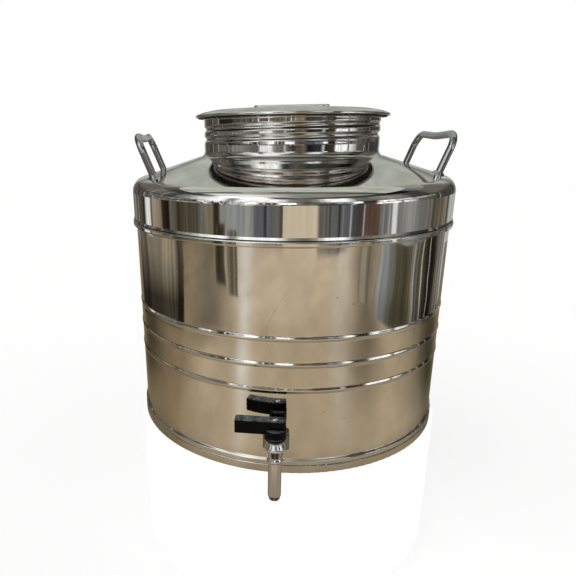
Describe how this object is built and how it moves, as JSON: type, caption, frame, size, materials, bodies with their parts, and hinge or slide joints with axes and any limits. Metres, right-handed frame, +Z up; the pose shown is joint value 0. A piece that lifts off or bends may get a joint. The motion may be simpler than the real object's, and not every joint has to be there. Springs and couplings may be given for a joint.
{
  "type": "stainless steel tank with tap",
  "caption": "Round stainless steel drum with a wide screw lid, rod handles on a conical shoulder and a lever tap near its foot, for storing and drawing off oil, honey or water.",
  "frame": {"origin": "middle of the foot ring, on the plane that it stands on", "axes": "+Z up along the tank's axis, -Y towards the tap, +X to the right of someone facing the tap"},
  "size_m": [0.3674, 0.3942, 0.3765],
  "materials": {
    "bright_steel": "bright annealed sheet",
    "mirror_steel": "mirror polished sheet",
    "rod_steel": "polished round rod",
    "tap_chrome": "chrome plate",
    "black_plastic": "glossy moulding",
    "plug_brass": "turned",
    "white_seal": "translucent white silicone",
    "black_seal": "black rubber"
  },
  "bodies": {
    "tank": {"tank_shell": "bright_steel", "bottom_pan": "bright_steel", "shoulder_dome": "mirror_steel", "neck_ring": "mirror_steel", "handle_left": "rod_steel", "handle_right": "rod_steel", "handle_left_pad_front": "rod_steel", "handle_left_pad_rear": "rod_steel", "handle_right_pad_front": "rod_steel", "handle_right_pad_rear": "rod_steel", "tap_body": "tap_chrome", "tap_spout": "tap_chrome", "tap_outer_nut": "tap_chrome", "tap_back_nut": "tap_chrome", "tap_outer_washer": "white_seal", "tap_inner_washer": "white_seal", "tap_bonnet": "black_plastic"},
    "tap_valve": {"tap_plug": "plug_brass", "tap_oring_upper": "black_seal", "tap_oring_lower": "black_seal", "tap_lever": "black_plastic", "tap_lever_screw": "tap_chrome"},
    "lid_seal": {"lid_gasket": "black_seal"},
    "lid": {"lid_cover": "mirror_steel", "lid_thread_ring": "mirror_steel", "lid_grip": "mirror_steel"}
  },
  "joints": [
    {"name": "tap_turn", "type": "hinge", "parent": "tank", "child": "tap_valve", "pos_m": [0, -0.1995, 0.06], "axis": [0, 0, 1], "range_deg": [0, 90]},
    {"name": "lid_lift", "type": "slide", "parent": "tank", "child": "lid_seal", "axis": [0, 0, 1], "range_m": [0, 0.0312]},
    {"name": "lid_turn", "type": "hinge", "parent": "lid_seal", "child": "lid", "pos_m": [0, 0, 0.345], "axis": [0, 0, 1], "range_deg": [0, 1080]}
  ],
  "couplings": [
    {"joint": "lid_lift", "follows": "lid_turn", "m_per_rad": 0.0016552}
  ]
}
